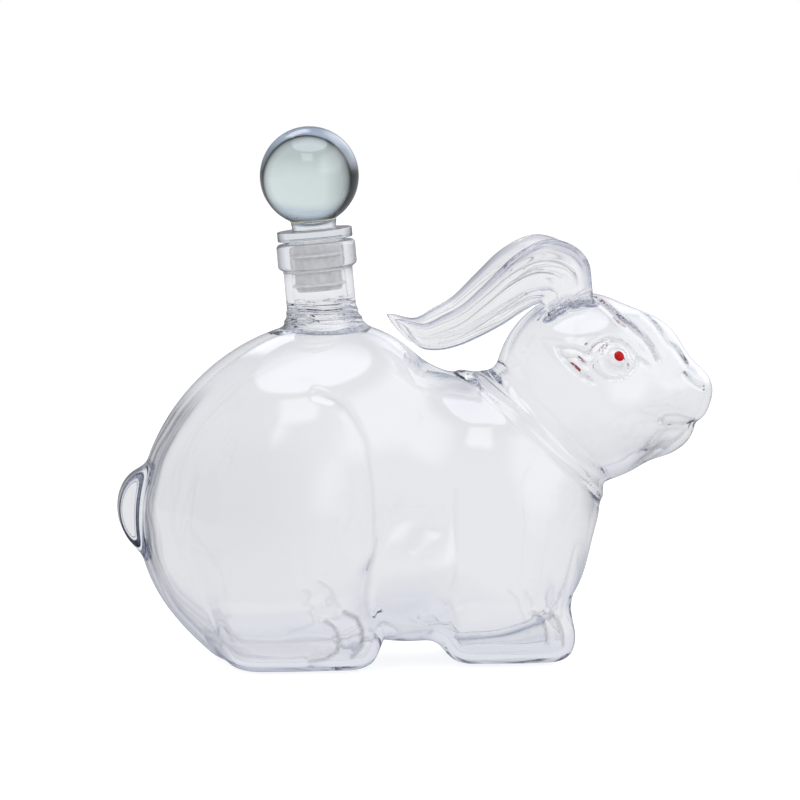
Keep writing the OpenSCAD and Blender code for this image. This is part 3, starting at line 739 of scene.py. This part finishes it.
def plastic(name, dark, light, scale, rough, bump, translucent=0.0, coat=0.0, transmission=0.0, ior=1.45):
    """A soft or hard plastic with a fine mottle in its colour, gloss and surface."""
    m, nt, out = new_material(name)
    L = nt.links
    noise = node(nt, "TexNoise", Scale=scale, Detail=4)
    L.new(node(nt, "TexCoord").outputs["Object"], noise.inputs["Vector"])
    p = node(nt, "BsdfPrincipled", IOR=ior, Transmission_Weight=transmission, Coat_Weight=coat,
             Subsurface_Weight=translucent, Subsurface_Radius=(1, 1, 1), Subsurface_Scale=0.003)
    L.new(ramp(nt, noise.outputs["Fac"], [(0.3, dark), (0.7, light)]), p.inputs["Base Color"])
    span = node(nt, "MapRange", To_Min=rough * 0.85, To_Max=min(1, rough * 1.15))
    L.new(noise.outputs["Fac"], span.inputs["Value"])
    L.new(span.outputs[0], p.inputs["Roughness"])
    b = node(nt, "Bump", Strength=bump, Distance=0.0002)
    L.new(noise.outputs["Fac"], b.inputs["Height"])
    L.new(b.outputs["Normal"], p.inputs["Normal"])
    L.new(p.outputs[0], out.inputs["Surface"])
    return m


# Each glass's edge colour darkens towards grazing as painted shade; the dark ramps are deeper painted shade
CLEAR = glass(
    "blown_clear_glass",
    [(0.0, (0.995, 0.996, 0.998)), (0.60, (0.975, 0.978, 0.985)), (0.74, (0.90, 0.905, 0.92)),
     (0.86, (0.62, 0.64, 0.67)), (1.0, (0.36, 0.38, 0.42))],
    volume=((0.72, 0.76, 0.84), 14), ripple=0.04, ripple_size=35,
    dark=[(0.0, (0.97, 0.975, 0.985)), (0.35, (0.86, 0.87, 0.90)), (0.52, (0.42, 0.44, 0.49)),
          (0.68, (0.06, 0.065, 0.08)), (1.0, (0.02, 0.02, 0.03))],
)
EAR = glass(
    "drawn_ear_glass",
    [(0.0, (0.995, 0.996, 0.998)), (0.45, (0.97, 0.973, 0.982)), (0.62, (0.80, 0.81, 0.85)),
     (0.78, (0.30, 0.31, 0.38)), (1.0, (0.10, 0.10, 0.15))],
    volume=((0.72, 0.76, 0.84), 3), ripple=0.05, ripple_size=90,
    dark=[(0.0, (0.60, 0.61, 0.72)), (0.35, (0.28, 0.29, 0.38)), (0.6, (0.07, 0.07, 0.11)),
          (1.0, (0.02, 0.02, 0.03))],
)
BALL = glass(
    "teal_grey_crystal", None,
    ior=1.52, volume=((0.2, 0.546, 0.5), 9), ripple=0.02, ripple_size=20, lets=0.75, inner=0.0, ball=True,
)
FOOT = glass(
    "stopper_foot_glass",
    [(0.0, (0.99, 0.992, 0.992)), (0.35, (0.93, 0.94, 0.945)), (0.55, (0.45, 0.46, 0.47)),
     (0.75, (0.05, 0.05, 0.055)), (1.0, (0.02, 0.02, 0.025))],
    volume=((0.7, 0.75, 0.8), 20), ripple=0.03, ripple_size=80,
)
RED = plastic("red_glass_dot", (0.36, 0.0, 0.003), (0.46, 0.001, 0.006), 900, 0.3, bump=0.04, ior=1.25)
SLEEVE = plastic("grey_silicone", (0.54, 0.545, 0.55), (0.64, 0.645, 0.65), 500, 0.42, translucent=0.6, bump=0.15)
GLUE = plastic("clear_glue_film", (0.80, 0.74, 0.42), (0.92, 0.88, 0.66), 260, 0.15, bump=0.1, coat=0.5,
               transmission=0.6, ior=1.4)

# ---------------------------------------------------------------- the glass vessel

CELL = 1.2
pts, quads, normals = surface(vessel_plain, vessel, (-122, 0, -2.5), (124, 59, 175), CELL)
body = add_mesh("blown_vessel", pts, quads, normals)
body.data.materials.append(CLEAR)
x, y, z = pts.T
neck_h, neck_r, neck_turn = neck_frame(x, y, z)

# rim: painted shade where thick glass looks dark, in place of the dark surroundings it bends in. The rump's painted
# streaked edge first
turned = np.abs(normals[:, 1])
painted_streaks = 0.72 + 0.28 * np.sin(46 * turned + 2.0 * np.sin(0.09 * z) + 0.8 * np.sin(0.31 * z))
rump = np.clip((-70 - x) / 8, 0, 1) * np.clip((0.50 - turned) / 0.10, 0, 1) * painted_streaks
rump = rump * (0.55 + 0.45 * np.clip((z - 34) / 12, 0, 1)) * np.clip((114 - z) / 12, 0, 1)
# painted shade too: patches at the nape and chest, a dark edge under the chin, dark spots round the ear roots, a dark
# edge on the collar and dark rings on the weld
nape = np.exp(-(((x - 21) / 9) ** 2 + ((z - 104) / 8) ** 2)) * 0.7
chest = 0.5 * np.exp(-(((x - 70) / 6) ** 2 + ((z - 66) / 9) ** 2))
chin = 0.7 * np.clip((x - 84) / 5, 0, 1) * np.clip((93 - z) / 4, 0, 1) * (0.7 + 0.3 * np.sin(1.3 * z - 0.9 * x))
roots = np.min([np.linalg.norm(np.stack([x, np.abs(y), z], 1) - at, axis=1) for at in EAR_BEAD], 0)
roots = 0.4 * np.clip((2.2 - roots) / 1.2, 0, 1) * np.clip(np.sin(2.3 * x + 1.7 * z), 0, 1)
collar = 0.75 * np.clip((neck_h - 17) / 4, 0, 1)
rings = 0.55 + 0.45 * np.sin(2.1 * neck_h + 1.3 * np.sin(neck_turn))
weld = 0.8 * np.where(neck_r < 22, np.exp(-(((neck_h - 2.5) / 4.0) ** 2)) * rings, 0)
mark(body, "rim", np.clip(chin + roots + rump + nape + chest + collar + weld, 0, 1))

# weld: the wrinkled ring at the neck's foot. fold: painted shade along the carved lines, over a broad faint painted
# shade on the haunch
mark(body, "weld", np.clip((9 - neck_h) / 2, 0, 1) * np.clip((neck_h + 3.5) / 2, 0, 1) * (neck_r < 24))
shade = 0.085 * np.exp(-(((x + 74) / 34) ** 2 + ((z - 62) / 34) ** 2)) + 0.03 * np.clip((120 - z) / 40, 0, 1)
mark(body, "fold", np.maximum(carved(x, y, z, np.zeros(len(pts)))[1], shade))
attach(body, "decanter")
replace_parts(body, "body_shell", "head_shell", "head_weld", "neck_weld", "neck_tube", "mouth_collar", "tail",
            "left_eye_lens", "right_eye_lens")

# ---------------------------------------------------------------- ears

# Grooves along the blade: place across it, width, depth, painted shade in the groove, and where along it each starts
# and ends
EAR_LINES = [
    (-0.74, 0.06, 0.5, 0.3, 0.10, 0.75),
    (-0.50, 0.04, 0.7, 0.55, 0.02, 0.55),
    (-0.30, 0.035, 0.5, 0.3, 0.0, 0.9),
    (-0.02, 0.05, 0.9, 0.9, 0.12, 0.80),
    (0.24, 0.035, 0.5, 0.3, 0.0, 0.7),
    (0.48, 0.045, 0.8, 0.55, 0.03, 0.98),
]


def curve_rows(rows, steps):
    """A smooth curve through the rows of a table."""
    out = []
    last = len(rows) - 1
    for i in range(last):
        a, b, c, d = rows[max(i - 1, 0)], rows[i], rows[i + 1], rows[min(i + 2, last)]
        for k in range(steps):
            t = k / steps
            bend = (2 * a - 5 * b + 4 * c - d) * t**2
            out.append((2 * b + (c - a) * t + bend + (3 * b - a - 3 * c + d) * t**3) / 2)
    out.append(rows[-1])
    return np.array(out)


def ear(name, side):
    """An ear's blade from its melted root to its tip. side is 1 on the left and -1 on the right."""
    turns, steps = ((256, 16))
    rows = curve_rows(EAR_ROWS, steps)
    turn = np.arange(turns) * 2 * math.pi / turns
    s, v = np.cos(turn), np.sin(turn)
    rings, folds, rims = [], [], []
    for i, (back, up, swing, wide, angle) in enumerate(rows):
        t = i / (len(rows) - 1)
        middle = np.array([EAR_ROOT[0] - back * EAR_LONG, EAR_Y + swing * EAR_SWING, EAR_ROOT[2] + up * EAR_LONG])
        along = np.array([math.cos(math.radians(angle)), 0, math.sin(math.radians(angle))])
        half = EAR_THICK / 2 * math.sqrt(wide) * v * (1 + 0.35 * s)
        cup = EAR_CUP * wide * (s * s - 0.5)
        fade = min(1, t / 0.12) * min(1, max(0, (1 - t) / 0.2))
        # grooves that run along the blade, deeper on its outer side, and the rolled upper rim
        lines, thin = np.zeros(turns), np.zeros(turns)
        for c, w, a, shade, start, end in EAR_LINES:
            away = s - c - 0.12 * math.sin(4.2 * t + c * 9) + 0.30 * (t - 0.3) * c
            on = min(1, max(0, (t - start) / 0.10)) * min(1, max(0, (end - t) / 0.18))
            lines += on * a * np.exp(-((away / w) ** 2))
            # thin: painted shade in each groove's core
            thin = np.maximum(thin, on * shade * np.exp(-((away / (0.5 * w)) ** 2)))
        rim = np.exp(-(((s - 0.84) / 0.10) ** 2))
        half = half - np.sign(v) * np.abs(v) ** 0.5 * (lines * np.where(v > 0, 1.0, 0.5) - 0.9 * rim) * fade * wide
        # patch and rims: painted shade along the upper rim, stronger in patches
        patch = 0.5 + 0.5 * math.sin(13 * t + 1.0) * math.sin(5.3 * t)
        folds.append(thin * fade)
        rims.append(np.clip((s - 0.55) / 0.25, 0, 1) * (0.45 + 0.55 * patch))
        p = middle + np.outer(s * wide * EAR_WIDE / 2, along)
        p[:, 1] += half + cup
        rings.append(p)
    # the root ring lies a little below the head's surface, spread like melted glass
    root = ear_root(turns)
    mid = root.mean(0)
    between = [root * (1 - k) + rings[0] * k for k in (0.35, 0.7)]
    rings = [root] + between + rings
    folds = [np.zeros(turns)] * 3 + folds
    # painted dark spots round the root
    rims = [np.clip(0.6 * np.sin(9 * turn) * np.sin(4 * turn + 1), 0, 1)] * 3 + rims
    points = [mid] + [p for ring in rings for p in ring] + [rings[-1].mean(0) + np.array([-1.2, 0, 1.0])]
    points = [(p[0], p[1] * side, p[2]) for p in points]
    faces = []
    n = turns
    for i in range(n):
        j = (i + 1) % n
        faces.append([0, 1 + j, 1 + i])
        for r in range(len(rings) - 1):
            a, b = 1 + r * n + i, 1 + r * n + j
            faces.append([a, b, b + n, a + n])
        last = 1 + (len(rings) - 1) * n
        faces.append([last + i, last + j, len(points) - 1])
    if side < 0:
        faces = [f[::-1] for f in faces]
    piece = add_mesh(name, points, faces)
    mark(piece, "fold", np.concatenate([[0], *folds, [0]]))
    mark(piece, "rim", np.concatenate([[0], *rims, [0.5]]))
    piece.data.materials.append(EAR)
    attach(piece, "decanter")
    return piece


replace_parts(ear("ear_left", 1), "left_ear")
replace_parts(ear("ear_right", -1), "right_ear")

# ---------------------------------------------------------------- pupils

PUPIL_R, PUPIL_DEEP = 2.1, 0.9


def pupil(name, side):
    """A red dot in an eye's bead, domed a little more than the bead."""
    at = EYE_AT * np.array([1, side, 1])
    up = EYE_N * np.array([1, side, 1])
    across = unit(np.cross(up, [0, 0, 1.0]))
    crown = []
    for a in np.linspace(math.pi / 2, 0, 9):
        r = PUPIL_R * math.sin(a)
        dome = math.sqrt(EYE_BALL**2 - r * r) + 0.18 * (1 - (r / PUPIL_R) ** 2) + 0.03
        crown.append((r, EYE_RISE - EYE_BALL + dome))
    profile = [(0, EYE_RISE - PUPIL_DEEP), (1.7, EYE_RISE - PUPIL_DEEP), (PUPIL_R, EYE_RISE - 0.75)] + crown
    piece = lathe(name, profile, turns=48, at=at, up=up, side=across)
    piece.data.materials.append(RED)
    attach(piece, "decanter")
    return piece


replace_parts(pupil("pupil_left", 1), "left_pupil")
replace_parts(pupil("pupil_right", -1), "right_pupil")

# ---------------------------------------------------------------- stopper

# Heights along the neck's axis
DISC_LOW, DISC_TOP, DISC_R = 33.0, 37.0, 15.2
STEM_LONG, STEM_R = 18.6, 8
BALL_R, FOOT_HIGH, FOOT_R, GLUE_THICK = 20.0, 1.4, 9.3, 0.25
BALL_AT = DISC_TOP + FOOT_HIGH + GLUE_THICK + BALL_R
SLEEVE_LONG, SLEEVE_IN, SLEEVE_R, RIB_R = 20.7, 8.05, 9.5, 10.92


def stopper_ball():
    """The solid ball, a hair smaller than the CAD's."""
    r = BALL_R - 0.01
    arc = [(r * math.sin(a), BALL_AT - r * math.cos(a)) for a in np.linspace(0, math.pi, 97)]
    arc[0], arc[-1] = (0, BALL_AT - r), (0, BALL_AT + r)
    piece = lathe("crystal_ball", arc, turns=192)
    piece.data.materials.append(BALL)
    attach(piece, "stopper")
    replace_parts(piece, "stopper_ball")


def stopper_foot():
    """Stem, disc and the collar that holds the ball in its cup, in one piece of clear glass."""
    seat, cup_r = BALL_R + GLUE_THICK, FOOT_R - 0.5
    cup = [(r, BALL_AT - math.sqrt(seat**2 - r * r)) for r in np.linspace(cup_r, 0, 10)]
    low = DISC_LOW - STEM_LONG
    outline = softened(
        [(0, low), (STEM_R, low), (STEM_R, DISC_LOW), (DISC_R, DISC_LOW), (DISC_R, DISC_TOP), (cup_r, DISC_TOP),
         (FOOT_R, BALL_AT - math.sqrt(seat**2 - FOOT_R**2)), (cup_r, cup[0][1]), (0, cup[-1][1])], 0.5)
    outline = outline[:-1] + cup[1:]
    piece = lathe("stopper_foot", outline)
    piece.data.materials.append(FOOT)
    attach(piece, "stopper")
    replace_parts(piece, "stopper_plug", "ball_collar")


def glue_ring():
    """The bead of glue that shows between ball and collar."""
    r1 = 9.15
    mid = BALL_AT - math.sqrt((BALL_R + 0.12) ** 2 - r1**2)
    ring = [(r1 + 0.32 * math.cos(a), mid + 0.30 * math.sin(a)) for a in np.arange(12) * math.pi / 6]
    piece = lathe("glue_line", ring, closed=True,
                  wobble=lambda r, h, a: (r + 0.08 * math.sin(5 * a), h + 0.07 * math.sin(3 * a + 1)))
    piece.data.materials.append(GLUE)
    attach(piece, "stopper")
    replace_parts(piece, "ball_glue")


def sleeve():
    """The sleeve with its three ribs, from the bottom up."""
    top, low = DISC_LOW - 0.05, DISC_LOW - SLEEVE_LONG
    outline = [(SLEEVE_IN, low), (8.9, low), (9.4, low + 1.6)]
    for i in (2, 1, 0):
        z = DISC_LOW - SLEEVE_LONG * (0.30 + 0.58 * i / 2)
        outline += [(SLEEVE_R, z - 0.9), (10.9, z - 0.28), (RIB_R, z + 0.22), (9.55, z + 0.8)]
    outline += [(10, top - 1.2), (10, top), (SLEEVE_IN, top)]
    piece = lathe("ribbed_sleeve", softened(outline, 0.25, closed=True, steps=3), closed=True)
    piece.data.materials.append(SLEEVE)
    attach(piece, "sleeve")
    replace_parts(piece, "stopper_sleeve")


stopper_ball()
stopper_foot()
glue_ring()
sleeve()

# ---------------------------------------------------------------- floor, world and lamps

# What glass sees through itself along the horizon
HORIZON = (0.875, 0.879, 0.892)


def shown_to(nt, path, ray, shown, plain):
    """One colour for a kind of ray, and another for the rest."""
    return blend(nt, "MIX", path.outputs[ray], plain, shown)


FLOOR_R, FLOOR_TURNS, FLOOR_AT = 4.0, 96, -0.0002


def make_floor():
    """A pale floor that holds the shadow. Glass sees it as a glow, not lit, more dimly as a mirror than through
    itself, and through itself with a painted shadow towards its middle.
    """
    mesh = bpy.data.meshes.new("floor")
    turn = [2 * math.pi * i / FLOOR_TURNS for i in range(FLOOR_TURNS)]
    ring = [(FLOOR_R * math.cos(a), FLOOR_R * math.sin(a), FLOOR_AT) for a in turn]
    mesh.from_pydata(ring, [], [list(range(FLOOR_TURNS))])
    floor = bpy.data.objects.new("floor", mesh)
    bpy.context.scene.collection.objects.link(floor)
    m, nt, out = new_material("pale_floor")
    L = nt.links
    path = node(nt, "LightPath")
    far = node(nt, "VectorMath", operation="LENGTH")
    L.new(node(nt, "TexCoord").outputs["Object"], far.inputs[0])
    diffuse = node(nt, "BsdfDiffuse", Color=(0.93, 0.93, 0.935, 1))
    glow = node(nt, "Emission", Strength=1.0)
    L.new(shown_to(nt, path, "Is Camera Ray", (0.22, 0.22, 0.22), (0, 0, 0)), glow.inputs["Color"])
    plain = node(nt, "AddShader")
    L.new(diffuse.outputs[0], plain.inputs[0])
    L.new(glow.outputs[0], plain.inputs[1])
    # through: a painted shadow, darker and more lavender towards the middle under the rabbit
    through = ramp(nt, far.outputs["Value"], [(0.05, (0.80, 0.81, 0.865)), (0.30, HORIZON)])
    mirrored = ramp(nt, far.outputs["Value"], [(0.08, (0.42, 0.44, 0.52)), (0.35, (0.42, 0.43, 0.46))])
    seen = node(nt, "Emission")
    L.new(shown_to(nt, path, "Is Transmission Ray", through, mirrored), seen.inputs["Color"])
    by_glass = sums(nt, "MAXIMUM", path.outputs["Is Transmission Ray"], path.outputs["Is Glossy Ray"])
    L.new(chosen(nt, by_glass, plain.outputs[0], seen.outputs[0]), out.inputs["Surface"])
    mesh.materials.append(m)


def between(nt, value, low, high, soft_low, soft_high):
    """1 where value lies from low to high, with soft ends."""
    up = node(nt, "MapRange", interpolation_type="SMOOTHSTEP", From_Min=low - soft_low, From_Max=low + soft_low)
    down = node(nt, "MapRange", interpolation_type="SMOOTHSTEP", From_Min=high - soft_high,
                From_Max=high + soft_high, To_Min=1.0, To_Max=0.0)
    for side in (up, down):
        nt.links.new(value, side.inputs["Value"])
    return sums(nt, "MULTIPLY", up.outputs[0], down.outputs[0])


def reflected_lights(nt, xyz):
    """Grey surroundings, a dark flag on the far left, and the glow of soft boxes, as glass mirrors them."""
    x, y, z = (xyz.outputs[k] for k in "XYZ")
    depth = sums(nt, "ABSOLUTE", y)
    # power, colour, and the soft limits of each box in the direction's z, x and y
    lights = [
        (3.6, (0.86, 0.90, 1.0), between(nt, z, 0.865, 2, 0.015, 0.1), between(nt, x, -0.50, 0.56, 0.03, 0.05),
         between(nt, y, -0.60, 0.16, 0.1, 0.30)),
        (2.8, (0.92, 0.94, 1.0), between(nt, z, 0.60, 0.825, 0.05, 0.015), between(nt, x, -0.33, 0.06, 0.05, 0.06),
         between(nt, depth, 0.3, 2, 0.1, 0.1)),
        (1.9, (0.94, 0.95, 1.0), between(nt, z, 0.12, 0.74, 0.16, 0.08), between(nt, x, 0.34, 0.94, 0.18, 0.06)),
    ]
    total = ramp(nt, z, [(0.0, (0.36, 0.37, 0.40)), (0.5, (0.34, 0.36, 0.40)), (0.9, (0.20, 0.22, 0.28))])
    flag = ramp(nt, sums(nt, "MULTIPLY_ADD", x, 0.5, 0.5), [(0.02, (0.05, 0.05, 0.06)), (0.08, (1, 1, 1))])
    total = blend(nt, "MULTIPLY", 1.0, total, flag)
    for power, tint, box, *more in lights:
        for mask in more:
            box = sums(nt, "MULTIPLY", box, mask)
        total = blend(nt, "ADD", box, total, tuple(power * c for c in tint))
    return total


def make_world():
    """White to the camera, evenly grey to what it lights, and a studio to the glass."""
    world = bpy.data.worlds.new("studio")
    bpy.context.scene.world = world
    world.use_nodes = True
    nt = world.node_tree
    nt.nodes.clear()
    L = nt.links
    path = node(nt, "LightPath")
    xyz = node(nt, "SeparateXYZ")
    L.new(node(nt, "TexCoord").outputs["Generated"], xyz.inputs[0])
    through = ramp(nt, xyz.outputs["Z"], [(0.0, HORIZON), (0.35, HORIZON), (0.60, (0.62, 0.65, 0.74)),
                                          (0.85, (0.22, 0.25, 0.34))])
    colour = shown_to(nt, path, "Is Transmission Ray", through, reflected_lights(nt, xyz))
    colour = shown_to(nt, path, "Is Diffuse Ray", (0.86, 0.86, 0.86), colour)
    colour = shown_to(nt, path, "Is Camera Ray", (1, 1, 1), colour)
    back = node(nt, "Background", Strength=1.0)
    L.new(colour, back.inputs["Color"])
    out = nt.nodes.new("ShaderNodeOutputWorld")
    L.new(back.outputs[0], out.inputs["Surface"])


LAMP_AIM = Vector((0, 0, 0.08))


def lamp(name, at, size, power):
    """A soft box that lights the floor. Glass doesn't see it."""
    data = bpy.data.lights.new(name, "AREA")
    data.shape, data.size, data.size_y, data.energy = "RECTANGLE", size[0], size[1], power
    obj = bpy.data.objects.new(name, data)
    bpy.context.scene.collection.objects.link(obj)
    obj.location = at
    obj.rotation_mode = "QUATERNION"
    obj.rotation_quaternion = (LAMP_AIM - Vector(at)).to_track_quat("-Z", "Y")
    obj.visible_camera = False
    obj.visible_transmission = False
    obj.visible_glossy = False


make_floor()
make_world()
lamp("left_softbox", (-0.75, -0.75, 0.95), (0.45, 0.6), 3.0)
lamp("right_softbox", (0.9, -0.45, 0.8), (0.35, 0.5), 1.6)
lamp("back_softbox", (0.1, 0.95, 0.8), (0.6, 0.35), 1.6)

scene = bpy.context.scene
scene.view_settings.view_transform = "Standard"
scene.cycles.max_bounces = 40
scene.cycles.transmission_bounces = 40
scene.cycles.glossy_bounces = 32
scene.cycles.transparent_max_bounces = 16
